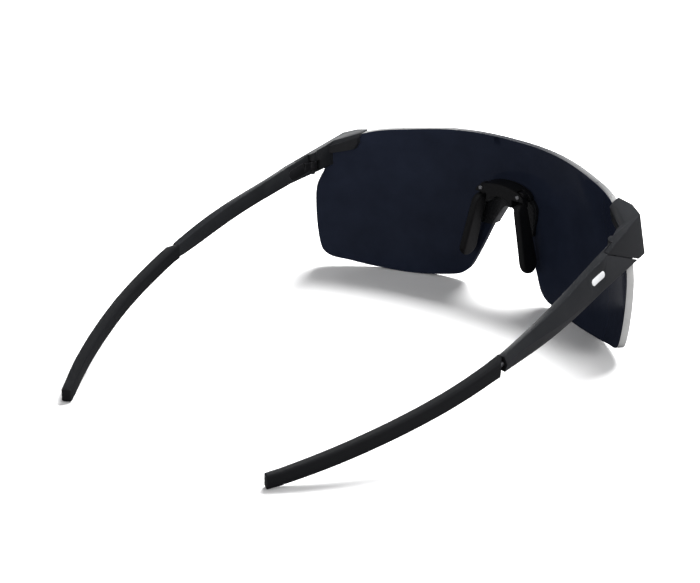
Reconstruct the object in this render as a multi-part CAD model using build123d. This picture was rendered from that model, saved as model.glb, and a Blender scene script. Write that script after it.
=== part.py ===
from build123d import *
import math
import os

# Glacier glasses: one wrap-around shield lens, two hinged temples with rubber ends, and an adjustable
# nose piece.  Millimetres, +Z up.  The wearer looks along -Y and the temples run back along +Y.
# The glasses stand open on the lens's lower edge and on both temple tips, and the origin is below the
# middle of their box.  Pieces are drawn on the wearer's left (+X), with Y counted from the seam
# between end piece and temple, and the other side is a mirror image.

# ---- driving dimensions ----
lens_half_width = 66.7     # widest half breadth of the lens, on its rear surface
lens_height = 55.5         # lowest edge to highest point
lens_radius = 97.5         # horizontal curve of the rear surface
lens_upright_radius = 200.0
lens_thickness = 2.3
lens_apex_z = 27.0         # height at which the lens bulges furthest forward
temple_length = 129.7      # hinge seam to tip
temple_setback = 8.15      # lens's side edge to the hinge seam
notch_height = 32.5        # top of the nose notch
notch_foot_half = 16.9     # half width of the notch at the lens's lower edge

arm_length = 58.0          # bare part of a temple, from the seam to its rubber sleeve
tip_height = 4.2
tip_thickness = 3.1
wire_radius = 0.7          # stiffening wire inside a temple
wire_start = 30.0
wire_end_margin = 7.0      # wire's end to the temple tip

hinge_barrel_radius = 1.6
hinge_screw_radius = 0.7
hinge_head_radius = 1.15
hinge_head_depth = 0.8
head_seat = 37.0           # height of the screw head's seat in the lower lug
screw_top = 42.4
knuckle_bottom = 38.1      # the temple's hinge knuckle, between the end piece's two lugs
knuckle_top = 40.9
skin = 1.15                # thickness of the outer wall outside the hinge
leaf_length = 8.6          # capsule-shaped hinge leaf let into the temple's inner face
leaf_width = 3.6
leaf_thickness = 1.1
badge_length = 7.0         # plain bar let into the temple's outer face
badge_width = 2.0
badge_depth = 0.5

clamp_thickness = 1.3      # plate that holds the lens's upper corner from behind
clamp_peg_radius = 1.0
roof = 0.9                 # thickness of the end piece's roof over the clamp plate

pad_length = 24.2
pad_pin_to_plate = 2.6     # from a pad's pin down to the top of its plate
pad_top_radius = 3.0       # a pad's plate widens from its rounded top to its rounded foot
pad_foot_radius = 3.9
pad_behind_pin = 2.0       # the plate sits a little further back than its knuckle
pad_thickness = 2.6
pad_pin_radius = 0.7
pin_seat = 1.1             # a pad pin's front end, behind the carrier
pad_knuckle_radius = 1.5
pad_pin_x = 7.9
pad_pin_above_notch = 5.6
pad_foot_x = 14.0
carrier_plate = 1.3        # thickness of the nose carrier behind the lens
carrier_rim = 0.8          # and in front of it
saddle_depth = 6.0         # rear face of the bridge saddle to the carrier
saddle_top_above_notch = 8.3
bridge_wire_radius = 0.55

pad_tilt_room = 0.8        # between a pad's plate and the saddle's feet, for the tilt
head_end_x = 61.9          # where the end piece's hinge block takes over from its roof
gap = 0.3                  # between pieces that move past each other
running = 0.05             # radial clearance of a pin in its bore

temple_length_nominal = 129.7   # the sizes that the corner points and bends below were set out for
arm_length_nominal = 58.0
lens_height_nominal = 55.5
lens_half_width_nominal = 66.7
notch_height_nominal = 32.5

# ---- places worked out from the driving dimensions ----
lens_axis_y = math.sqrt(lens_radius**2 - lens_half_width**2) - temple_setback
lens_front_y = lens_axis_y - lens_radius - lens_thickness
frame_shift = -(lens_front_y + temple_length) / 2
rise = lens_height - lens_height_nominal   # the end pieces and hinges ride at the lens's top
spread = lens_half_width - lens_half_width_nominal   # and at its side
big = 400.0


def at(x, y, z):
    """A point drawn for the nominal end piece, moved with the lens's top corner."""
    return Vector(x + spread, y, z + rise)


def lens_depth(x, thick=0.0):
    """Y of the lens surface at its apex height: the rear one, or one a given thickness further out."""
    return lens_axis_y - math.sqrt((lens_radius + thick) ** 2 - x**2)


def shell_between(inner, outer, low, high):
    """The lens's double-curved shell between two distances from its rear surface."""
    tall = lens_upright_radius

    def edge(distance):
        centre = lens_radius - tall
        radius = tall + distance
        points = []
        for z in (low, (low + high) / 2, high):
            points.append((centre + math.sqrt(radius**2 - (z - lens_apex_z) ** 2), z))
        return points

    a = edge(inner)
    b = edge(outer)
    outline = Wire([
        Edge.make_three_point_arc((a[0][0], 0, a[0][1]), (a[1][0], 0, a[1][1]), (a[2][0], 0, a[2][1])),
        Edge.make_line((a[2][0], 0, a[2][1]), (b[2][0], 0, b[2][1])),
        Edge.make_three_point_arc((b[2][0], 0, b[2][1]), (b[1][0], 0, b[1][1]), (b[0][0], 0, b[0][1])),
        Edge.make_line((b[0][0], 0, b[0][1]), (a[0][0], 0, a[0][1])),
    ])
    half = math.degrees(math.asin(0.86))
    blank = revolve(Face(outline), axis=Axis.Z, revolution_arc=2 * half)
    return Pos(0, lens_axis_y, 0) * Rot(0, 0, -90 - half) * blank


def lens_outline():
    """Points of the half outline on the rear surface, as (x, z), from the top centre round to the notch."""
    w = lens_half_width
    h = lens_height
    foot = notch_foot_half
    top = [(0, h), (14, h - 0.1), (28, h - 1.1), (41.4, h - 3.0), (w - 12.7, h - 5.7)]
    shoulder = [(w - 8.6, h - 8.1), (w - 4.9, h - 12.5), (w - 3.1, h - 16.5), (w - 2.0, h - 20.5)]
    side = [(w - 0.6, h - 24.5), (w, h - 31), (w - 0.4, 15.0), (w - 1.2, 8.6)]
    corner = [(w - 2.1, 5.9), (w - 4.2, 4.0), (w - 8.1, 2.9)]
    bottom = [(52.6, 1.5), (45.5, 0.5), (38.0, 0.0), (foot + 12, 0.7), (foot + 5, 1.9)]
    nose = [(foot + 1.9, 2.9), (foot - 0.6, 4.8), (foot - 2.6, 8.1)]
    notch = [(9.7, 18.3 * notch_height / notch_height_nominal), (5.4, notch_height - 5.6), (2.6, notch_height - 1.1)]
    return top + shoulder + side + corner + bottom + nose + notch + [(0, notch_height)]


def radial_block(points, near_y, far_y):
    """A block through (x, z) points of the rear surface whose sides run towards the lens's axis."""
    run = [0.0]
    for (x1, z1), (x2, z2) in zip(points, points[1:]):
        run.append(run[-1] + math.hypot(x2 - x1, z2 - z1))
    wires = []
    for y in (near_y, far_y):
        reach = lens_axis_y - y
        placed = [Vector(reach * math.tan(math.asin(x / lens_radius)), y, z) for x, z in points]
        ends = [Vector(1, 0, 0), Vector(-1, 0, 0)]
        half = Edge.make_spline(placed, tangents=ends, parameters=[length / run[-1] for length in run])
        wires.append(Wire([half, half.mirror(Plane.YZ)]))
    return Solid.make_loft(wires, ruled=True)


def make_lens():
    blank = shell_between(0, lens_thickness, -6, lens_height + 6)
    lens = blank & radial_block(lens_outline(), lens_axis_y - 0.55 * lens_radius, lens_front_y - 12)
    hole = peg_rod(clamp_peg_radius, -3, lens_thickness + 3)
    return lens - hole - hole.mirror(Plane.YZ)


# ---- end piece, hinge and front of the temple ----
# The end piece is a faceted block: a top facet that narrows to the rear, a big side facet that leans
# outwards as it goes down, a sloped underside, and a cover over the lens's upper corner in front.
# Each facet is a plane through three of these points.
top_lens = at(53.4, -18.0, 50.2)       # where the lens's top edge meets the end piece
top_front = at(58.6, -20.6, 49.5)
top_corner = at(63.2, -18.5, 47.95)    # outer front corner of the top facet
top_seam = at(66.2, 0.0, 42.6)         # the same ridge at the hinge seam
low_corner = at(66.8, -17.0, 36.1)
low_seam = at(69.0, 0.0, 33.4)
low_inner = at(62.9, 0.0, 36.4)
inner_front = at(61.3, -9.0, 45.1)
inner_seam = at(64.2, 0.0, 42.3)
inner_bend = at(65.0, 8.0, 40.4)
seam_low = at(67.0, -14.0, 35.1)       # the seam's outer part slants down and forward
seam_high = at(66.9, 3.4, 41.5)
core = at(64.5, -4, 39)                # a point well inside the block
inner_x = 62.3 + spread                # innermost reach of the hinge
pivot = Vector(inner_x + hinge_barrel_radius, -3.2, 0)
seam_y = pivot.Y + hinge_barrel_radius + gap   # the seam's inner part, behind the hinge
blend_y = 8.0                          # where the temple's facets start to bend
top_facet = (top_lens, top_corner, top_seam)
side_facet = (top_corner, top_seam, low_corner)
under_facet = (low_corner, low_seam, low_inner)
front_facet = (top_front, top_corner, low_corner)
brow_facet = (top_lens + Vector(0, -2.3, 0), top_front, top_front + Vector(0, 0.9, -9))
roof_rear = (at(54.7, -15.1, 48.4), at(60.6, -11.0, 45.7), at(56.4, -17.6, 50.5))
inner_facet = (inner_front, inner_seam, low_inner)
temple_facet = (inner_seam, inner_bend, low_inner)


def normal_of(facet):
    """Unit normal of a facet, pointing away from the block's inside."""
    a, b, c = facet
    normal = (b - a).cross(c - a).normalized()
    if normal.dot(core - a) > 0:
        normal = normal * -1
    return normal


def above(plane):
    """Everything on the side of a plane that its normal points to."""
    return plane.location * Pos(0, 0, big / 2) * Box(big, big, big)


def half_space(facet, depth=0.0):
    """Everything outside a facet, or outside a plane that lies a given depth under it."""
    normal = normal_of(facet)
    return above(Plane(origin=facet[0] - normal * depth, z_dir=normal))


def front_block():
    """The faceted outer form that end piece and temple share, from the lens to the bend of the temple."""
    block = Pos(inner_x + 5, -15 + blend_y / 2, core.Z) * Box(40, 30 + blend_y, 60)
    for facet in (top_facet, side_facet, under_facet, front_facet, brow_facet):
        block -= half_space(facet)
    return block


def slant(lower):
    """Everything above the slanted outer seam, moved down by a given distance."""
    across = Vector(10, 0, 0)
    a = seam_low - Vector(0, 0, lower)
    b = seam_high - Vector(0, 0, lower)
    normal = across.cross(b - a).normalized()
    return above(Plane(origin=a, z_dir=normal))


def behind(y):
    return Pos(0, y + big / 2, 0) * Box(big, big, big)


def inward_of(x):
    return Pos(x - big / 2, 0, 0) * Box(big, big, big)


def upright_rod(radius, low, high):
    """A rod on the hinge's axis."""
    return Pos(pivot.X, pivot.Y, (low + high) / 2 + rise) * Cylinder(radius, high - low)


def peg_rod(radius, inner, outer):
    """A rod square to the lens, at the clamp's peg, between two distances from the rear surface."""
    x, y, z = at(57.3, 0, 45.2)
    drop = lens_upright_radius - math.sqrt(lens_upright_radius**2 - (z - lens_apex_z) ** 2)
    turn = math.asin(x / lens_radius)
    out = Vector(math.sin(turn), -math.cos(turn), 0)
    base = Vector(0, lens_axis_y, z) + out * (lens_radius - drop + (inner + outer) / 2)
    return Plane(origin=base, z_dir=out).location * Cylinder(radius, outer - inner)


def prism(points, y_low, y_high):
    """A block between two Y values whose outline is given by the points' X and Z."""
    face = Face(Wire.make_polygon([Vector(p.X, y_low, p.Z) for p in points], close=True))
    return Solid.extrude(face, Vector(0, y_high - y_low, 0))


def make_clamp():
    """Clamp plate: lies on the lens's rear surface under the roof, with a peg through the lens."""
    outline = [
        at(53.9, 0, 51.0), at(63.0, 0, 51.0), at(63.0, 0, 42.2), at(56.4, 0, 43.8), at(55.0, 0, 44.4),
        at(53.9, 0, 46.6),
    ]
    plate = shell_between(-clamp_thickness, 0, 30, lens_height + 4) & prism(outline, -40, 0)
    plate -= half_space(top_facet, roof)
    plate = plate & inward_of(at(head_end_x, 0, 0).X)
    return plate + peg_rod(clamp_peg_radius, -0.5, lens_thickness + 1.0)


def hinge_slot():
    """Space that the temple's knuckle and its neck need inside the end piece as the temple folds."""
    low = knuckle_bottom - gap
    high = knuckle_top + gap
    middle = (low + high) / 2 + rise
    slot = upright_rod(hinge_barrel_radius + gap, low, high)
    reach = hinge_barrel_radius + gap
    slot += Pos(pivot.X + reach - 5, pivot.Y + 5, middle) * Box(10, 10, high - low)
    slot += Pos(pivot.X - 5, pivot.Y + 3, middle) * Box(10, 10, high - low)
    return slot


def make_endpiece(lens, clamp):
    """End piece: cover in front of the lens, roof over its top edge, outer wall and two hinge lugs."""
    block = front_block()
    wall = (block & half_space(side_facet, skin)) & slant(0)
    wall -= behind(seam_high.Y)
    behind_clamp = shell_between(-60, -clamp_thickness, 20, lens_height + 20)
    inner = block - half_space(side_facet, skin) - (half_space(inner_facet) & behind_clamp)
    # behind the pivot only round lugs are left, so that the temple's end can swing about them
    inner -= behind(pivot.Y)
    lugs = block & upright_rod(hinge_barrel_radius, 30, 60)
    piece = wall + inner + lugs
    # on the head side only the roof reaches back over the lens, and the hinge block stands behind it
    head_side = inward_of(at(head_end_x, 0, 0).X)
    under_roof = shell_between(-clamp_thickness, 0, 20, lens_height + 20) & head_side
    piece = piece - (behind_clamp & head_side) - (under_roof - half_space(top_facet, roof))
    piece -= half_space(roof_rear) & head_side
    cover = [
        at(53.4, 0, 55), at(75, 0, 55), at(75, 0, 25), at(64.2, 0, 25), at(62.5, 0, 37.6), at(53.4, 0, 46.0),
    ]
    piece = piece & prism(cover, -60, 20)
    for tool in (lens, clamp, hinge_slot()):
        piece -= tool
    piece -= upright_rod(hinge_screw_radius, 20, screw_top)
    piece -= upright_rod(hinge_head_radius, 20, head_seat)
    return piece


def make_hinge_screw():
    """Hinge screw, put in from below, with its head sunk into the lower lug."""
    screw = upright_rod(hinge_screw_radius, head_seat - 0.1, screw_top)
    screw += upright_rod(hinge_head_radius, head_seat - hinge_head_depth, head_seat)
    return screw - Pos(pivot.X, pivot.Y, head_seat - hinge_head_depth + rise) * Box(3, 0.4, 0.7)


# ---- temple ----
def facet_corner(first, second, y):
    """The point at a given Y on the ridge between two facets."""
    n1 = normal_of(first)
    n2 = normal_of(second)
    d1 = n1.dot(first[0]) - n1.Y * y
    d2 = n2.dot(second[0]) - n2.Y * y
    det = n1.X * n2.Z - n1.Z * n2.X
    return Vector((d1 * n2.Z - d2 * n1.Z) / det, y, (n1.X * d2 - n2.X * d1) / det)


def along(x, y, z):
    """A temple point, moved with the hinge at the front and kept on the ground at the tip."""
    if y > arm_length_nominal:
        share = (y - arm_length_nominal) / (temple_length_nominal - arm_length_nominal)
        y = arm_length + share * (temple_length - arm_length)
    else:
        y = blend_y + (y - blend_y) * (arm_length - blend_y) / (arm_length_nominal - blend_y)
    fade = 1 - max(0.0, y - blend_y) / (temple_length - blend_y)
    return Vector(x + spread, y, z + rise * fade)


# centre line of the rear of a temple, and its height and thickness there
route = [
    (69.2, 58.0, 23.05, 4.95, 3.85), (67.45, 70.0, 19.5, 4.9, 3.8), (65.25, 80.0, 16.6, 4.8, 3.75),
    (62.25, 90.0, 13.75, 4.75, 3.7), (58.45, 100.0, 10.85, 4.7, 3.65), (53.95, 110.0, 7.95, 4.6, 3.6),
    (48.55, 120.0, 5.05, 4.45, 3.5), (42.45, 129.7, tip_height / 2, tip_height, tip_thickness),
]
# corners of the arm's bare part behind the blend, as (X, Z): top inner, top outer, middle outer,
# bottom outer and bottom inner
arm_sections = {
    15.0: ((65.8, 38.6), (67.9, 38.3), (70.15, 31.3), (70.3, 30.4), (64.8, 33.3)),
    25.0: ((66.8, 35.6), (69.1, 35.5), (71.1, 29.4), (70.8, 27.7), (66.2, 30.5)),
    40.0: ((67.8, 31.0), (70.1, 31.4), (71.8, 27.6), (71.0, 24.2), (67.3, 26.0)),
    58.0: ((67.6, 25.3), (69.9, 25.5), (71.1, 23.3), (70.3, 20.7), (67.3, 21.2)),
}


def route_frame(index):
    """Upright plane across the temple's centre line at one of the route's points."""
    points = [along(*row[:3]) for row in route]
    before = points[max(0, index - 1)]
    after = points[min(len(points) - 1, index + 1)]
    ahead = Vector(after.X - before.X, after.Y - before.Y, 0).normalized()
    return Plane(origin=points[index], x_dir=Vector(ahead.Y, -ahead.X, 0), z_dir=ahead * -1)


def make_sleeve():
    """Rubber sleeve over the rear of the temple, a rounded bar cut square at the tip."""
    sections = []
    for index, row in enumerate(route):
        height = row[3]
        width = row[4]
        sections.append(route_frame(index) * RectangleRounded(width, height, width * 0.3))
    return loft(sections)


def arm_outline(y):
    """The arm's section where its facets start to bend."""
    outer = facet_corner(top_facet, side_facet, y)
    lower = facet_corner(side_facet, under_facet, y)
    shoulder = lower + (outer - lower) * 0.08
    return [facet_corner(top_facet, temple_facet, y), outer, shoulder, lower,
            facet_corner(under_facet, temple_facet, y)]


def make_arm_body():
    """The whole front of a temple with its facets, without hinge leaf, badge or wire."""
    block = front_block() - half_space(temple_facet)
    inside = (block & behind(seam_y)) - half_space(side_facet, skin + gap)
    rear = block & behind(seam_high.Y + gap)
    lower = (block & behind(seam_y)) - slant(gap)
    apron = (block & half_space(side_facet, skin - gap)) - slant(gap)
    body = inside + rear + lower + apron
    sections = [arm_outline(blend_y)]
    for y, corners in arm_sections.items():
        sections.append([along(x, y, z) for x, z in corners])
    body += Solid.make_loft([Wire.make_polygon(points, close=True) for points in sections], ruled=False)
    return body


def make_wire():
    """Stiffening wire that runs from inside the arm to near the tip."""
    points = [along(68.7, wire_start, 30.9), along(69.3, 44.0, 27.0)]
    points += [along(*row[:3]) for row in route[:-1]]
    last = points[-1]
    tip = along(*route[-1][:3])
    points.append(tip + (last - tip).normalized() * wire_end_margin)
    path = Edge.make_spline(points)
    return sweep(Plane(origin=path @ 0, z_dir=path % 0) * Circle(wire_radius), path=path)


def make_leaf(body):
    """Hinge leaf: a capsule-shaped plate in the temple's inner face, with a neck and knuckle."""
    slope = -0.27
    start_y = seam_y + leaf_width / 2 + 0.5
    end_y = start_y + leaf_length - leaf_width
    level = (knuckle_bottom + knuckle_top) / 2 + rise
    a = Vector(0, start_y, level - 0.3)
    b = Vector(0, end_y, level - 0.3 + slope * (end_y - start_y))
    capsule = SlotCenterToCenter((b - a).length, leaf_width)
    tilt = math.degrees(math.atan(slope))
    mid = (a + b) / 2
    capsule_face = Plane(origin=(inner_x - 3, mid.Y, mid.Z), x_dir=(0, math.cos(math.radians(tilt)),
                    math.sin(math.radians(tilt))), z_dir=(1, 0, 0)) * capsule
    tool = extrude(capsule_face, 8)
    plate = (body & tool) - Pos(leaf_thickness, 0, 0) * body
    height = knuckle_top - knuckle_bottom
    neck = Pos(pivot.X + 0.1, (pivot.Y + start_y) / 2, level) * Box(1.9, start_y - pivot.Y, height)
    knuckle = upright_rod(hinge_barrel_radius, knuckle_bottom, knuckle_top)
    bore = upright_rod(hinge_screw_radius + running, knuckle_bottom - 1, knuckle_top + 1)
    return plate + neck + knuckle - bore


def make_badge(body):
    """Plain bar let flush into the temple's outer face."""
    y = blend_y + 2.5
    mid = along(66, y, 36.0)
    tilt = math.radians(-14)
    capsule = Plane(origin=mid, x_dir=(0, math.cos(tilt), math.sin(tilt)), z_dir=(1, 0, 0)) * SlotOverall(
        badge_length, badge_width)
    return (body & extrude(capsule, 12)) - Pos(-badge_depth, 0, 0) * body


# ---- nose piece ----
pin_z = notch_height + pad_pin_above_notch
nose_front_y = lens_depth(0) + carrier_plate   # rear face of the carrier, where the saddle begins
nose_rear_y = nose_front_y + saddle_depth


def carrier_band(outer, inner, near, far):
    """A curved band of the carrier: two outlines, in X and Z, between two distances from the lens."""
    halves = []
    for side in (1, -1):
        upper = [Vector(side * x, 0, z) for x, z in outer]
        lower = [Vector(side * x, 0, z) for x, z in inner]
        level = Vector(side, 0, 0)
        halves.append(Edge.make_spline(upper, tangents=[level, Vector(-side * 0.1, 0, -1)]))
        halves.append(Edge.make_line(upper[-1], lower[0]))
        halves.append(Edge.make_spline(lower, tangents=[Vector(-side * 0.45, 0, 1), level * -1]))
    face = Face(Wire(halves))
    band = Pos(0, -60, 0) * Solid.extrude(face, Vector(0, 120, 0))
    return band & shell_between(near, far, 10, notch_height + 12)


def make_carrier(lens):
    """Rigid carrier: a plate behind the lens and a slim rim in front, joined round the notch's edge."""
    n = notch_height
    foot = n - 9.0
    inner = [(6.7, foot), (5.1, n - 6.0), (3.1, n - 2.8), (0, n - 0.9)]
    plate = [(0, n + 6.3), (5.0, n + 5.8), (9.4, n + 4.2), (12.1, n + 1.4), (12.2, n - 2.0), (11.2, foot)]
    rim = [(0, n + 1.7), (3.4, n + 0.9), (6.2, n - 2.8), (9.2, foot)]
    behind_lens = carrier_band(plate, inner, -carrier_plate, 0)
    before_lens = carrier_band(rim, inner, -0.2, lens_thickness + carrier_rim)
    return behind_lens + before_lens - lens


def half_disc(x_radius, z_radius, foot_z, y_low, y_high):
    """The upper half of an elliptic disc that stands on a height, between two Y values."""
    sketch = Ellipse(max(x_radius, z_radius), min(x_radius, z_radius)) - Pos(0, -50) * Rectangle(200, 100)
    face = Plane(origin=(0, y_low, foot_z), x_dir=(1, 0, 0), z_dir=(0, -1, 0)) * sketch
    return extrude(face, -(y_high - y_low))


def pad_pin_rod(radius, low, high):
    return Pos(pad_pin_x, (low + high) / 2, pin_z) * Rot(90, 0, 0) * Cylinder(radius, high - low)


def pad_slot(low, high):
    """Room between the saddle's lugs for a pad's knuckle, open below."""
    slot = pad_pin_rod(pad_knuckle_radius + gap, low, high)
    width = 2 * (pad_knuckle_radius + gap) + 1.4
    slot += Pos(pad_pin_x + 0.4, (low + high) / 2, pin_z - 5) * Box(width, high - low, 10)
    return slot


def make_saddle(carrier, lens, wire):
    """Soft bridge saddle: an arched cap behind the lens that carries the pads' knuckles at its feet."""
    foot_z = pin_z - pad_pin_to_plate + gap + pad_tilt_room
    front = nose_front_y - 0.8
    cap_height = notch_height + saddle_top_above_notch - foot_z
    cap = half_disc(pad_pin_x + 2.3, cap_height, foot_z, front, nose_rear_y)
    middle = (front + nose_rear_y) / 2
    apron_half = pad_pin_x - pad_thickness / 2 - 1.1
    apron = Pos(0, middle, foot_z - 1.4) * Box(2 * apron_half, nose_rear_y - front, 2.8)
    hollow = half_disc(apron_half - 1.2, 5.0, foot_z - 4.5, front - 1, nose_rear_y + 1)
    body = cap + apron - hollow
    for side in (1, -1):
        slot = pad_slot(*knuckle_span(gap))
        bore = pad_pin_rod(pad_pin_radius, nose_front_y + pin_seat, nose_rear_y + 1)
        if side < 0:
            slot = slot.mirror(Plane.YZ)
            bore = bore.mirror(Plane.YZ)
        body = body - slot - bore
    return body - carrier - lens - wire


def knuckle_span(margin):
    """Front and rear ends of a pad's knuckle along its pin, with a margin added."""
    middle = (nose_rear_y + nose_front_y) / 2 + 0.3
    return middle - 1.3 - margin, middle + 1.3 + margin


def make_pad_pin():
    return pad_pin_rod(pad_pin_radius, nose_front_y + pin_seat, nose_rear_y + 0.25)


def make_pad():
    """Rubber nose pad: a long rounded plate that hangs from its knuckle."""
    low, high = knuckle_span(0)
    foot = Vector(pad_foot_x, 0, pin_z - pad_length - pad_pin_to_plate)
    top = Vector(pad_pin_x, 0, pin_z)
    lean = math.degrees(math.atan2(foot.X - top.X, top.Z - foot.Z))
    middle_y = (low + high) / 2 + pad_behind_pin
    upper = Pos(0, -pad_pin_to_plate - pad_top_radius) * Circle(pad_top_radius)
    lower = Pos(0, -pad_pin_to_plate - pad_length + pad_foot_radius) * Circle(pad_foot_radius)
    outline = make_hull(upper.edges() + lower.edges())
    face = Plane(origin=(0, 0, 0), x_dir=(0, 1, 0), z_dir=(1, 0, 0)) * outline
    plate = extrude(face, pad_thickness)
    plate = fillet(plate.edges().filter_by(lambda e: e.length > 2), pad_thickness * 0.42)
    neck = Pos(pad_thickness / 2, -pad_behind_pin, -2.2) * Box(pad_thickness - 0.5, high - low, 4.4)
    pad = plate + neck
    pad = Pos(top.X - pad_thickness / 2, middle_y, top.Z) * Rot(0, -lean, 0) * pad
    pad += pad_pin_rod(pad_knuckle_radius, low, high)
    return pad - pad_pin_rod(pad_pin_radius + running, low - 5, high + 5)


def make_bridge_wire():
    """Bendable wire inside the saddle, which keeps the bridge as it is set."""
    level = notch_height + (saddle_top_above_notch + 2.6) / 2
    reach = pad_pin_x - 2.6
    y = nose_rear_y - 1.5
    path = Edge.make_three_point_arc((-reach, y, level - 2.1), (0, y, level), (reach, y, level - 2.1))
    return sweep(Plane(origin=path @ 0, z_dir=path % 0) * Circle(bridge_wire_radius), path=path)


# ---- build, mirror and write ----
def build_side(lens):
    """Pieces of the wearer's left side, drawn at +X."""
    clamp = make_clamp()
    body = make_arm_body()
    leaf = make_leaf(body)
    badge = make_badge(body)
    wire = make_wire()
    pad = make_pad()
    return {
        "endpiece": make_endpiece(lens, clamp),
        "lens_clamp": clamp,
        "hinge_screw": make_hinge_screw(),
        "hinge_leaf": leaf,
        "temple_arm": body - leaf - badge - wire,
        "temple_badge": badge,
        "temple_wire": wire,
        "temple_sleeve": make_sleeve() - wire - body,
        "nose_pad": pad,
        "pad_pin": make_pad_pin(),
    }


pieces = {}
lens = make_lens()
for name, solid in build_side(lens).items():
    pieces[name + "_left"] = solid
    pieces[name + "_right"] = solid.mirror(Plane.YZ)
carrier = make_carrier(lens)
bridge_wire = make_bridge_wire()
pieces["lens"] = lens
pieces["nose_carrier"] = carrier
pieces["bridge_wire"] = bridge_wire
pieces["bridge_saddle"] = make_saddle(carrier, lens, bridge_wire)

os.makedirs("parts", exist_ok=True)
for name, solid in pieces.items():
    export_step(Pos(0, frame_shift, 0) * solid, f"parts/{name}.step")
    print(name, round(solid.volume, 1), len(solid.solids()), solid.bounding_box())
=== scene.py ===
import math
import bmesh
import bpy
from mathutils import Matrix, Vector


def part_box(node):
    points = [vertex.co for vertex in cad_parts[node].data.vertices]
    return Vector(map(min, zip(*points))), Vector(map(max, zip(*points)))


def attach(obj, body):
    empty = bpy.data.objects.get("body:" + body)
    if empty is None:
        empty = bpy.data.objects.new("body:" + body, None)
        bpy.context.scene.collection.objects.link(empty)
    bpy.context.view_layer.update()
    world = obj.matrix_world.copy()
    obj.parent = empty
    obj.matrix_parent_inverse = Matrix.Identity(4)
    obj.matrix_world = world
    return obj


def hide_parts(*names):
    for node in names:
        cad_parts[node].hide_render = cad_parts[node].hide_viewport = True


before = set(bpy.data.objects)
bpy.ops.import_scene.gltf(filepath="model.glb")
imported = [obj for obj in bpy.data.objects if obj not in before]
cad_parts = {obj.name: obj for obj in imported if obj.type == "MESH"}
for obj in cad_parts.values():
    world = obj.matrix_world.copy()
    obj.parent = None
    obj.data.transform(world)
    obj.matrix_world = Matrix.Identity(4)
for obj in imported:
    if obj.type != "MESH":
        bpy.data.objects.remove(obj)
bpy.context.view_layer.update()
MM = 0.001

# ---- floor, light and camera ----
# The glasses stand open on a white studio floor under one softbox, which hangs in front of the lens.  Two
# small strips draw the gloss, and two fills lighten the right side and the back.  The floor is pale matt
# board, laid for the picture and no part of the glasses.
FLOOR_SIZE = 8.0
FLOOR_WHITE = (0.92, 0.92, 0.92, 1)
FLOOR_SEEN_BY_GLOSS = (0.10, 0.10, 0.105, 1)
SKY_SEEN = (1.0, 1.0, 1.0, 1)
SKY_IN_GLOSS = (0.16, 0.165, 0.18, 1)
SKY_FILL = (0.20, 0.20, 0.205, 1)
FRONT_AIM = (0.0, -0.05, 0.03)
LENS_FOCAL_MM = 106.97
SENSOR_WIDTH_MM = 36.0
NEAREST_SEEN = 0.01
CAMERA_PLACE = Vector((-0.40836, 0.455097, 0.267693))
CAMERA_RIGHT = Vector((-0.74207, -0.67030, 0.00477))
CAMERA_UP = Vector((0.25177, -0.27213, 0.92874))
CAMERA_AHEAD = Vector((0.62124, -0.69039, -0.37070))


def new_material(name):
    """An empty node material with its output node, and the tree's nodes and links."""
    material = bpy.data.materials.new(name)
    material.use_nodes = True
    tree = material.node_tree
    tree.nodes.clear()
    output = tree.nodes.new("ShaderNodeOutputMaterial")
    return material, tree.nodes, tree.links, output


def mesh_object(bm, name, materials, sharp_degrees=35.0):
    """Writes a bmesh into a new object at the origin and gives it its materials."""
    mesh = bpy.data.meshes.new(name)
    bm.to_mesh(mesh)
    bm.free()
    for material in materials:
        mesh.materials.append(material)
    mesh.shade_smooth()
    mesh.set_sharp_from_angle(angle=math.radians(sharp_degrees))
    piece = bpy.data.objects.new(name, mesh)
    bpy.context.scene.collection.objects.link(piece)
    return piece


def floor_material():
    material, nodes, links, output = new_material("studio_floor")
    white = nodes.new("ShaderNodeBsdfDiffuse")
    white.inputs["Color"].default_value = FLOOR_WHITE
    dim = nodes.new("ShaderNodeBsdfDiffuse")
    dim.inputs["Color"].default_value = FLOOR_SEEN_BY_GLOSS
    rays = nodes.new("ShaderNodeLightPath")
    mix = nodes.new("ShaderNodeMixShader")
    links.new(rays.outputs["Is Camera Ray"], mix.inputs["Fac"])
    links.new(dim.outputs["BSDF"], mix.inputs[1])
    links.new(white.outputs["BSDF"], mix.inputs[2])
    links.new(mix.outputs["Shader"], output.inputs["Surface"])
    return material


def softbox(name, place, target, width, height, watts, seen_in_gloss=True):
    """A rectangular area light that faces a target."""
    light = bpy.data.lights.new(name, "AREA")
    light.shape = "RECTANGLE"
    light.size = width
    light.size_y = height
    light.energy = watts
    lamp = bpy.data.objects.new(name, light)
    lamp.location = place
    lamp.rotation_euler = (Vector(target) - Vector(place)).to_track_quat("-Z", "Y").to_euler()
    lamp.visible_glossy = seen_in_gloss
    bpy.context.scene.collection.objects.link(lamp)
    return lamp


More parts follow.
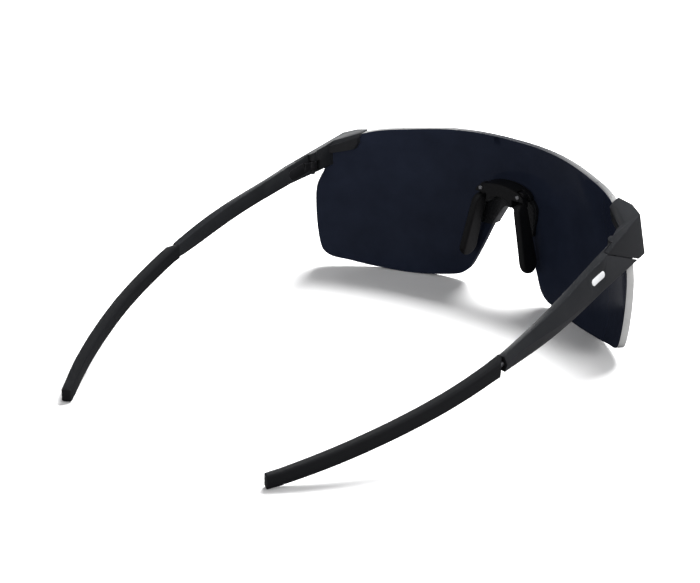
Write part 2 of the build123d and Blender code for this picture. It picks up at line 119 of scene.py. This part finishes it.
def studio_sky():
    """White to the eye, dim in reflections, so that black plastic stays black."""
    world = bpy.data.worlds.new("studio_sky")
    world.use_nodes = True
    nodes = world.node_tree.nodes
    links = world.node_tree.links
    nodes.clear()
    output = nodes.new("ShaderNodeOutputWorld")
    rays = nodes.new("ShaderNodeLightPath")
    levels = []
    for colour in (SKY_SEEN, SKY_IN_GLOSS, SKY_FILL):
        background = nodes.new("ShaderNodeBackground")
        background.inputs["Color"].default_value = colour
        levels.append(background)
    gloss = nodes.new("ShaderNodeMixShader")
    links.new(rays.outputs["Is Glossy Ray"], gloss.inputs["Fac"])
    links.new(levels[2].outputs["Background"], gloss.inputs[1])
    links.new(levels[1].outputs["Background"], gloss.inputs[2])
    seen = nodes.new("ShaderNodeMixShader")
    links.new(rays.outputs["Is Camera Ray"], seen.inputs["Fac"])
    links.new(gloss.outputs["Shader"], seen.inputs[1])
    links.new(levels[0].outputs["Background"], seen.inputs[2])
    links.new(seen.outputs["Shader"], output.inputs["Surface"])
    bpy.context.scene.world = world


floor_mesh = bmesh.new()
bmesh.ops.create_grid(floor_mesh, x_segments=1, y_segments=1, size=FLOOR_SIZE / 2)
floor = mesh_object(floor_mesh, "studio_floor", [floor_material()])
studio_sky()
softbox("key_softbox", (0.10, -0.62, 0.86), (0.0, -0.03, 0.0), width=0.62, height=0.5, watts=30.0,
        seen_in_gloss=False)
softbox("rim_strip", (0.75, -0.55, 0.32), FRONT_AIM, width=0.5, height=0.18, watts=1.1)
softbox("top_strip", (-0.45, 0.15, 0.75), (0.0, 0.0, 0.02), width=0.6, height=0.12, watts=0.8)
softbox("side_fill", (-0.95, -0.15, 0.30), FRONT_AIM, width=0.7, height=0.5, watts=7.5, seen_in_gloss=False)
softbox("rear_fill", (0.05, 0.95, 0.22), FRONT_AIM, width=0.8, height=0.3, watts=3.0, seen_in_gloss=False)

camera_data = bpy.data.cameras.new("studio_camera")
camera_data.lens = LENS_FOCAL_MM
camera_data.sensor_width = SENSOR_WIDTH_MM
camera_data.clip_start = NEAREST_SEEN
camera = bpy.data.objects.new("studio_camera", camera_data)
facing = Matrix((CAMERA_RIGHT, CAMERA_UP, -CAMERA_AHEAD)).transposed().to_4x4()
camera.matrix_world = Matrix.Translation(CAMERA_PLACE) @ facing
bpy.context.scene.collection.objects.link(camera)
bpy.context.scene.camera = camera
bpy.context.scene.view_settings.view_transform = "Standard"

# ---- lens ----
# One wrap-around shield cut from a moulded polycarbonate shell, 2.3 mm thick, tinted dark navy and hard
# coated on both faces.  The rim is milled and polished; its colour is painted light, pale where it faces
# sideways, and painted shade where it faces up, and it is left dark for the stretch round the nose notch.
# Both upper corners are pinned to the end pieces.
LENS_NAVY = (0.0160, 0.0205, 0.0360, 1)
# Edge tone for the bevelled faces: edge wear and a painted highlight.
LENS_NAVY_EDGE_WEAR_AND_HIGHLIGHT = (0.0180, 0.0225, 0.0380, 1)
SMOKE = (0.0100, 0.0130, 0.0220, 1)
# The rim's colour is painted light and shade: pale where it faces sideways, dark where it faces up.
RIM_PAINTED_LIGHT = (0.52, 0.52, 0.51, 1)
RIM_PAINTED_SHADE = (0.030, 0.031, 0.036, 1)
RIM_TURN_TO_PAINTED_LIGHT = 0.60            # how far the rim has to face sideways to take the full painted light
LENS_RIM_BEVEL = 0.18 * MM
NOTCH_REACH = 22.0 * MM    # the rim is left dark as far as this from the middle, round the nose notch
FACES_AWAY = 0.8           # a face turned this squarely away from the curve's axis, or towards it, is no rim
REAR, FRONT, RIM = 0, 1, 2


def copy_of(*names):
    """A merged copy of CAD pieces as one bmesh."""
    bm = bmesh.new()
    for name in names:
        bm.from_mesh(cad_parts[name].data)
    bmesh.ops.remove_doubles(bm, verts=bm.verts, dist=1e-6)
    return bm


def soften_edges(bm, width, sharper_than=25.0, segments=2, keep=None):
    """Rounds the edges that turn sharply, apart from those to keep, and marks the new faces for edge wear and
    a painted highlight.
    """
    bmesh.ops.dissolve_limit(bm, angle_limit=math.radians(0.5), verts=bm.verts, edges=bm.edges)
    wear_and_highlight = bm.faces.layers.float.new("wear_and_highlight")
    limit = math.radians(sharper_than)
    edges = [e for e in bm.edges if e.is_manifold and e.calc_face_angle(0.0) > limit]
    if keep:
        edges = [e for e in edges if not all(keep(v.co) for v in e.verts)]
    made = bmesh.ops.bevel(bm, geom=edges, offset=width, offset_type="OFFSET", segments=segments, profile=0.5,
                           affect="EDGES", clamp_overlap=True, material=-1)
    # The marked faces get the lighter edge tone: edge wear and a painted highlight.
    for face in made["faces"]:
        face[wear_and_highlight] = 1.0


def object_coordinates(nodes):
    return nodes.new("ShaderNodeTexCoord").outputs["Object"]


def grain_group():
    """Moulded grain: a fine bump, a slow drift of tone, and wear with a painted highlight on rounded edges.
    """
    group = bpy.data.node_groups.new("moulded_grain", "ShaderNodeTree")
    face = group.interface
    face.new_socket("Place", in_out="INPUT", socket_type="NodeSocketVector")
    for label, value in (("Grain Size", 0.2), ("Depth", 0.3), ("Rough Low", 0.35), ("Rough High", 0.5),
                         ("Edge Rough", 0.3)):
        socket = face.new_socket(label, in_out="INPUT", socket_type="NodeSocketFloat")
        socket.default_value = value
    for label in ("Tone", "Edge"):
        socket = face.new_socket(label, in_out="INPUT", socket_type="NodeSocketColor")
        socket.default_value = (0.02, 0.02, 0.02, 1)
    face.new_socket("Color", in_out="OUTPUT", socket_type="NodeSocketColor")
    face.new_socket("Roughness", in_out="OUTPUT", socket_type="NodeSocketFloat")
    face.new_socket("Normal", in_out="OUTPUT", socket_type="NodeSocketVector")
    nodes = group.nodes
    links = group.links
    inside = nodes.new("NodeGroupInput")
    outside = nodes.new("NodeGroupOutput")
    per_millimetre = nodes.new("ShaderNodeMath")
    per_millimetre.operation = "DIVIDE"
    per_millimetre.inputs[0].default_value = 1000.0
    links.new(inside.outputs["Grain Size"], per_millimetre.inputs[1])
    grain = nodes.new("ShaderNodeTexNoise")
    grain.inputs["Detail"].default_value = 3.0
    links.new(inside.outputs["Place"], grain.inputs["Vector"])
    links.new(per_millimetre.outputs["Value"], grain.inputs["Scale"])
    drift = nodes.new("ShaderNodeTexNoise")
    drift.inputs["Scale"].default_value = 90.0
    drift.inputs["Detail"].default_value = 4.0
    drift.inputs["Roughness"].default_value = 0.6
    links.new(inside.outputs["Place"], drift.inputs["Vector"])
    edge_wear_and_highlight = nodes.new("ShaderNodeAttribute")
    edge_wear_and_highlight.attribute_name = "wear_and_highlight"
    scuffs = nodes.new("ShaderNodeTexNoise")
    scuffs.inputs["Scale"].default_value = 700.0
    scuffs.inputs["Detail"].default_value = 5.0
    links.new(inside.outputs["Place"], scuffs.inputs["Vector"])
    patchy = nodes.new("ShaderNodeMapRange")
    patchy.inputs["From Min"].default_value = 0.35
    patchy.inputs["From Max"].default_value = 0.6
    links.new(scuffs.outputs["Fac"], patchy.inputs["Value"])
    wear_and_highlight_mask = nodes.new("ShaderNodeMath")
    wear_and_highlight_mask.operation = "MULTIPLY"
    links.new(edge_wear_and_highlight.outputs["Fac"], wear_and_highlight_mask.inputs[0])
    links.new(patchy.outputs["Result"], wear_and_highlight_mask.inputs[1])
    # Lighter edge tone on the marked faces: edge wear and a painted highlight.
    tone = nodes.new("ShaderNodeMix")
    tone.data_type = "RGBA"
    links.new(wear_and_highlight_mask.outputs["Value"], tone.inputs[0])
    links.new(inside.outputs["Tone"], tone.inputs[6])
    links.new(inside.outputs["Edge"], tone.inputs[7])
    drifted = nodes.new("ShaderNodeMapRange")
    drifted.inputs["From Min"].default_value = 0.25
    drifted.inputs["From Max"].default_value = 0.75
    drifted.inputs["To Min"].default_value = 0.82
    drifted.inputs["To Max"].default_value = 1.18
    links.new(drift.outputs["Fac"], drifted.inputs["Value"])
    shaded = nodes.new("ShaderNodeVectorMath")
    shaded.operation = "SCALE"
    links.new(tone.outputs[2], shaded.inputs[0])
    links.new(drifted.outputs["Result"], shaded.inputs["Scale"])
    links.new(shaded.outputs["Vector"], outside.inputs["Color"])
    rough = nodes.new("ShaderNodeMapRange")
    rough.inputs["From Min"].default_value = 0.3
    rough.inputs["From Max"].default_value = 0.7
    links.new(drift.outputs["Fac"], rough.inputs["Value"])
    links.new(inside.outputs["Rough Low"], rough.inputs["To Min"])
    links.new(inside.outputs["Rough High"], rough.inputs["To Max"])
    polished = nodes.new("ShaderNodeMix")
    polished.data_type = "FLOAT"
    links.new(wear_and_highlight_mask.outputs["Value"], polished.inputs[0])
    links.new(rough.outputs["Result"], polished.inputs[2])
    links.new(inside.outputs["Edge Rough"], polished.inputs[3])
    links.new(polished.outputs[0], outside.inputs["Roughness"])
    bump = nodes.new("ShaderNodeBump")
    bump.inputs["Distance"].default_value = 0.05 * MM
    links.new(inside.outputs["Depth"], bump.inputs["Strength"])
    links.new(grain.outputs["Fac"], bump.inputs["Height"])
    links.new(bump.outputs["Normal"], outside.inputs["Normal"])
    return group


moulded_grain = grain_group()


def moulded(name, tone, edge_wear_and_highlight_tone, rough, edge_rough, grain_mm, depth, **shader_values):
    """A moulded or drawn material: the grain group feeds a Principled shader."""
    material, nodes, links, output = new_material(name)
    shader = nodes.new("ShaderNodeBsdfPrincipled")
    grain = nodes.new("ShaderNodeGroup")
    grain.node_tree = moulded_grain
    grain.inputs["Tone"].default_value = tone
    # The edge tone is edge wear and a painted highlight on the rounded edges.
    grain.inputs["Edge"].default_value = edge_wear_and_highlight_tone
    grain.inputs["Grain Size"].default_value = grain_mm
    grain.inputs["Depth"].default_value = depth
    grain.inputs["Rough Low"].default_value = rough[0]
    grain.inputs["Rough High"].default_value = rough[1]
    grain.inputs["Edge Rough"].default_value = edge_rough
    links.new(object_coordinates(nodes), grain.inputs["Place"])
    links.new(grain.outputs["Color"], shader.inputs["Base Color"])
    links.new(grain.outputs["Roughness"], shader.inputs["Roughness"])
    links.new(grain.outputs["Normal"], shader.inputs["Normal"])
    for socket, value in shader_values.items():
        shader.inputs[socket.replace("_", " ")].default_value = value
    links.new(shader.outputs["BSDF"], output.inputs["Surface"])
    return material


lens_rear = moulded("lens_rear", LENS_NAVY, LENS_NAVY_EDGE_WEAR_AND_HIGHLIGHT, (0.10, 0.14), 0.12, 6.0, 0.02,
                    Specular_IOR_Level=0.10)
lens_front = moulded("lens_front", SMOKE, LENS_NAVY_EDGE_WEAR_AND_HIGHLIGHT, (0.05, 0.08), 0.08, 6.0, 0.02,
                     Specular_IOR_Level=0.6, Coat_Weight=0.6, Coat_Roughness=0.03)


def rim_painted_light_material():
    """Polished clear rim: painted light, for the light it pipes in from the sides, and painted shade where it
    faces up.
    """
    material, nodes, links, output = new_material("lens_rim_painted_light")
    shader = nodes.new("ShaderNodeBsdfPrincipled")
    facing_out = nodes.new("ShaderNodeNewGeometry")
    parts = nodes.new("ShaderNodeSeparateXYZ")
    links.new(facing_out.outputs["Normal"], parts.inputs["Vector"])
    sideways = nodes.new("ShaderNodeMath")
    sideways.operation = "ABSOLUTE"
    links.new(parts.outputs["X"], sideways.inputs[0])
    painted_light_share = nodes.new("ShaderNodeMapRange")
    painted_light_share.inputs["From Max"].default_value = RIM_TURN_TO_PAINTED_LIGHT
    links.new(sideways.outputs["Value"], painted_light_share.inputs["Value"])
    mill = nodes.new("ShaderNodeTexNoise")
    mill.inputs["Scale"].default_value = 260.0
    mill.inputs["Detail"].default_value = 4.0
    links.new(object_coordinates(nodes), mill.inputs["Vector"])
    uneven = nodes.new("ShaderNodeMapRange")
    uneven.inputs["To Min"].default_value = 0.88
    uneven.inputs["To Max"].default_value = 1.08
    links.new(mill.outputs["Fac"], uneven.inputs["Value"])
    # The rim's colour: painted light where it faces sideways, painted shade where it faces up.
    tone = nodes.new("ShaderNodeMix")
    tone.data_type = "RGBA"
    tone.inputs[6].default_value = RIM_PAINTED_SHADE
    tone.inputs[7].default_value = RIM_PAINTED_LIGHT
    links.new(painted_light_share.outputs["Result"], tone.inputs[0])
    scaled = nodes.new("ShaderNodeVectorMath")
    scaled.operation = "SCALE"
    links.new(tone.outputs[2], scaled.inputs[0])
    links.new(uneven.outputs["Result"], scaled.inputs["Scale"])
    links.new(scaled.outputs["Vector"], shader.inputs["Base Color"])
    gloss = nodes.new("ShaderNodeMapRange")
    gloss.inputs["To Min"].default_value = 0.22
    gloss.inputs["To Max"].default_value = 0.36
    links.new(mill.outputs["Fac"], gloss.inputs["Value"])
    links.new(gloss.outputs["Result"], shader.inputs["Roughness"])
    bump = nodes.new("ShaderNodeBump")
    bump.inputs["Strength"].default_value = 0.15
    bump.inputs["Distance"].default_value = 0.05 * MM
    links.new(mill.outputs["Fac"], bump.inputs["Height"])
    links.new(bump.outputs["Normal"], shader.inputs["Normal"])
    links.new(shader.outputs["BSDF"], output.inputs["Surface"])
    return material


lens_mesh = copy_of("lens")
soften_edges(lens_mesh, LENS_RIM_BEVEL)
lens_low, lens_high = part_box("lens")
half_chord = lens_high.x
sag = lens_high.y - lens_low.y
curve_radius = (half_chord**2 + sag**2) / (2 * sag)
for face in lens_mesh.faces:
    place = face.calc_center_median()
    outward = place - Vector((0, lens_low.y + curve_radius, 0))
    outward.z = 0
    turned = face.normal.dot(outward.normalized())
    in_notch = abs(place.x) < NOTCH_REACH and place.z < lens_high.z / 2 + NOTCH_REACH / 2
    if abs(turned) < FACES_AWAY:
        face.material_index = REAR if in_notch else RIM
    else:
        face.material_index = FRONT if turned > 0 else REAR
lens = mesh_object(lens_mesh, "shield_lens", [lens_rear, lens_front, rim_painted_light_material()], 30.0)
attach(lens, "front")
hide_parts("lens")

# ---- end pieces, lens clamps and temple arms ----
# Glass-filled nylon, injection moulded in near-black with a fine spark-eroded satin grain.  The end piece
# roofs the lens's upper corner, its clamp plate holds the lens from behind, and the arm turns on it.
NYLON = (0.0125, 0.0132, 0.0146, 1)
# Edge tone: edge wear and a painted highlight on the rounded edges.
NYLON_EDGE_WEAR_AND_HIGHLIGHT = (0.034, 0.036, 0.039, 1)
NYLON_BEVEL = 0.14 * MM
SHADED_SHARP = 40.0        # degrees past which an edge is shaded sharp
JOIN_REACH = 0.5 * MM      # edges this close to an arm's rear end stay sharp, where the sleeve meets it
SIDES = ("left", "right")

nylon = moulded("satin_nylon", NYLON, NYLON_EDGE_WEAR_AND_HIGHLIGHT, (0.36, 0.46), 0.30, 0.22, 0.25)


def softened_copy(node, name, body, material, width, keep=None):
    """A CAD piece with its edges rounded, which stands for it."""
    bm = copy_of(node)
    soften_edges(bm, width, keep=keep)
    piece = mesh_object(bm, name, [material], SHADED_SHARP)
    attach(piece, body)
    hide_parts(node)
    return piece


for side in SIDES:
    softened_copy(f"endpiece_{side}", f"end_piece_{side}", "front", nylon, NYLON_BEVEL)
    softened_copy(f"lens_clamp_{side}", f"clamp_plate_{side}", "front", nylon, NYLON_BEVEL)
    arm_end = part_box(f"temple_arm_{side}")[1].y - JOIN_REACH
    softened_copy(f"temple_arm_{side}", f"arm_{side}", f"temple_{side}", nylon, NYLON_BEVEL,
                  keep=lambda place: place.y > arm_end)

# ---- hinges ----
# A black-coated steel leaf is let into each arm's inner face and ends in a knuckle between the end piece's
# lugs.  A slotted steel screw goes in from below and is the hinge pin.
COATED = (0.020, 0.020, 0.022, 1)
# Edge tones: edge wear and a painted highlight on the rounded edges.
COATED_EDGE_WEAR_AND_HIGHLIGHT = (0.30, 0.30, 0.31, 1)
BARE_STEEL = (0.55, 0.55, 0.56, 1)
BARE_STEEL_EDGE_WEAR_AND_HIGHLIGHT = (0.7, 0.7, 0.7, 1)
STEEL_BEVEL = 0.10 * MM

coated_steel = moulded("coated_steel", COATED, COATED_EDGE_WEAR_AND_HIGHLIGHT, (0.28, 0.36), 0.25, 0.12, 0.25, Metallic=0.6)
bare_steel = moulded("bare_steel", BARE_STEEL, BARE_STEEL_EDGE_WEAR_AND_HIGHLIGHT, (0.20, 0.32), 0.2, 0.1, 0.2, Metallic=1.0)
for side in SIDES:
    softened_copy(f"hinge_leaf_{side}", f"leaf_{side}", f"temple_{side}", coated_steel,
                  STEEL_BEVEL)
    softened_copy(f"hinge_screw_{side}", f"screw_{side}", "front", bare_steel, STEEL_BEVEL)

# ---- badges and inner wires ----
# A plain pale enamelled bar is pressed flush into each arm's outer face.  A drawn steel wire runs inside
# each arm and sleeve, and a thinner one inside the bridge saddle.
ENAMEL = (0.70, 0.71, 0.72, 1)
# Edge tone: edge wear and a painted highlight on the rounded edges.
ENAMEL_EDGE_WEAR_AND_HIGHLIGHT = (0.8, 0.8, 0.8, 1)
BADGE_BEVEL = 0.08 * MM

enamel = moulded("pale_enamel", ENAMEL, ENAMEL_EDGE_WEAR_AND_HIGHLIGHT, (0.28, 0.36), 0.25, 0.3, 0.12, Coat_Weight=0.3)
for side in SIDES:
    softened_copy(f"temple_badge_{side}", f"badge_bar_{side}", f"temple_{side}", enamel, BADGE_BEVEL)
    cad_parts[f"temple_wire_{side}"].data.materials[0] = bare_steel
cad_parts["bridge_wire"].data.materials[0] = bare_steel

# ---- temple sleeves ----
# Soft-touch elastomer moulded over the wire behind each arm's bare part, near-black and matt.  It is a
# rounded bar that thins towards the tip, and its end is cut flat with rounded edges.
RUBBER = (0.0066, 0.0069, 0.0076, 1)
# Edge tone: edge wear and a painted highlight on the rounded edges.
RUBBER_EDGE_WEAR_AND_HIGHLIGHT = (0.016, 0.016, 0.017, 1)
SLEEVE_STATIONS = 26
FIRST_CUT = 0.30 * MM      # first and last sections, in from the sleeve's ends
LAST_CUT = 1.6 * MM
TIP_REACH = 1.1 * MM       # from the last section to the cut end
SLEEVE_TIP_BEVEL = 0.35 * MM
SLEEVE_CORNER = 0.32       # corner radius, as a share of the sleeve's thickness
CORNER_STEPS = 5
CAP_EDGE_DEGREES = 60.0    # only the cut end's outline turns more sharply than this

rubber = moulded("soft_rubber", RUBBER, RUBBER_EDGE_WEAR_AND_HIGHLIGHT, (0.50, 0.62), 0.5, 0.18, 0.35, Specular_IOR_Level=0.35)


def section_of(shape, point, across):
    """Points where a plane cuts a shape."""
    cut = shape.copy()
    geometry = cut.verts[:] + cut.edges[:] + cut.faces[:]
    made = bmesh.ops.bisect_plane(cut, geom=geometry, plane_co=point, plane_no=across)
    points = [v.co.copy() for v in made["geom_cut"] if isinstance(v, bmesh.types.BMVert)]
    cut.free()
    return points


def sleeve_places(side):
    """Frames across a CAD sleeve with its width and height there, from the arm to the tip."""
    shape = copy_of(f"temple_sleeve_{side}")
    low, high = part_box(f"temple_sleeve_{side}")
    middles = []
    for step in range(SLEEVE_STATIONS + 1):
        y = low.y + FIRST_CUT + (high.y - LAST_CUT - FIRST_CUT - low.y) * step / SLEEVE_STATIONS
        ring = section_of(shape, Vector((0, y, 0)), Vector((0, 1, 0)))
        middle_x = (max(p.x for p in ring) + min(p.x for p in ring)) / 2
        middles.append(Vector((middle_x, y, 0)))
    places = []
    for step, middle in enumerate(middles):
        ahead = (middles[min(step + 1, SLEEVE_STATIONS)] - middles[max(step - 1, 0)]).normalized()
        aside = Vector((ahead.y, -ahead.x, 0))
        ring = section_of(shape, middle, ahead)
        across = [aside.dot(p - middle) for p in ring]
        heights = [p.z for p in ring]
        centre = middle + aside * (max(across) + min(across)) / 2
        centre.z = (max(heights) + min(heights)) / 2
        size = (max(across) - min(across), max(heights) - min(heights))
        if step == 0:
            centre -= ahead * FIRST_CUT
        if step == SLEEVE_STATIONS:
            centre += ahead * TIP_REACH
        places.append((centre, ahead, aside, size))
    shape.free()
    return places


def place_matrix(place):
    """From a unit square in the XY plane to a section of the sleeve."""
    centre, ahead, aside, size = place
    turn = Matrix((aside, Vector((0, 0, 1)), -ahead)).transposed().to_4x4()
    return Matrix.Translation(centre) @ turn @ Matrix.Diagonal((size[0], size[1], 1, 1))


def sleeve_shape(places):
    """A rounded cap at the first place, drawn out through all the others to the tip."""
    bm = bmesh.new()
    bmesh.ops.create_grid(bm, x_segments=1, y_segments=1, size=0.5, matrix=place_matrix(places[0]))
    corner = SLEEVE_CORNER * places[0][3][0]
    bmesh.ops.bevel(bm, geom=bm.verts[:], offset=corner, offset_type="OFFSET", segments=CORNER_STEPS,
                    profile=0.5, affect="VERTICES", material=-1)
    bm.faces.ensure_lookup_table()
    cap = bm.faces[0]
    before = place_matrix(places[0])
    for place in places[1:]:
        after = place_matrix(place)
        made = bmesh.ops.extrude_face_region(bm, geom=[cap])["geom"]
        cap = [g for g in made if isinstance(g, bmesh.types.BMFace)][0]
        bmesh.ops.transform(bm, matrix=after @ before.inverted(), verts=cap.verts[:])
        before = after
    bm.normal_update()
    bmesh.ops.recalc_face_normals(bm, faces=bm.faces)
    return bm


for side in SIDES:
    places = sleeve_places(side)
    sleeve_mesh = sleeve_shape(places)
    joined_y = places[1][0].y
    soften_edges(sleeve_mesh, SLEEVE_TIP_BEVEL, CAP_EDGE_DEGREES, 3, keep=lambda place: place.y < joined_y)
    sleeve = mesh_object(sleeve_mesh, f"sleeve_{side}", [rubber], 50.0)
    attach(sleeve, f"temple_{side}")
    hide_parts(f"temple_sleeve_{side}")

# ---- nose piece ----
# A rigid nylon carrier grips the notch's edge.  Behind it sits a soft elastomer saddle, and a rubber pad
# hangs on a steel pin at each foot of the saddle, where it tilts a few degrees to fit the nose.
PAD_BLACK = (0.0075, 0.0075, 0.0080, 1)
CARRIER_BLACK = (0.012, 0.0125, 0.0135, 1)
CARRIER_BEVEL = 0.15 * MM
PIN_BEVEL = 0.12 * MM
PAD_VOXEL = 0.22 * MM
PAD_ROUNDS = 4             # rounds of smoothing
SADDLE_VOXEL = 0.2 * MM
SADDLE_ROUNDS = 3

pad_rubber = moulded("pad_rubber", PAD_BLACK, RUBBER_EDGE_WEAR_AND_HIGHLIGHT, (0.42, 0.55), 0.45, 0.15, 0.3,
                     Specular_IOR_Level=0.35)
gloss_nylon = moulded("gloss_nylon", CARRIER_BLACK, NYLON_EDGE_WEAR_AND_HIGHLIGHT, (0.20, 0.28), 0.2, 0.2, 0.12)


def moulded_copy(node, name, body, material, voxel, rounds):
    """A CAD piece remade as one soft moulding, with every edge and inner corner rounded."""
    bm = copy_of(node)
    piece = mesh_object(bm, name, [material], 180.0)
    remesh = piece.modifiers.new("skin", "REMESH")
    remesh.mode = "VOXEL"
    remesh.voxel_size = voxel
    depsgraph = bpy.context.evaluated_depsgraph_get()
    mesh = bpy.data.meshes.new_from_object(piece.evaluated_get(depsgraph))
    piece.modifiers.clear()
    bm = bmesh.new()
    bm.from_mesh(mesh)
    for _ in range(rounds):
        bmesh.ops.smooth_vert(bm, verts=bm.verts, factor=0.5,
                              use_axis_x=True, use_axis_y=True, use_axis_z=True)
    bm.to_mesh(piece.data)
    bm.free()
    bpy.data.meshes.remove(mesh)
    piece.data.materials.clear()
    piece.data.materials.append(material)
    for polygon in piece.data.polygons:
        polygon.material_index = 0
        polygon.use_smooth = True
    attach(piece, body)
    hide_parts(node)
    return piece


softened_copy("nose_carrier", "nose_clip", "front", gloss_nylon, CARRIER_BEVEL)
moulded_copy("bridge_saddle", "saddle", "front", pad_rubber, SADDLE_VOXEL, SADDLE_ROUNDS)
for side in SIDES:
    moulded_copy(f"nose_pad_{side}", f"pad_{side}", f"pad_{side}", pad_rubber, PAD_VOXEL,
                 PAD_ROUNDS)
    softened_copy(f"pad_pin_{side}", f"pin_{side}", "front", bare_steel, PIN_BEVEL)
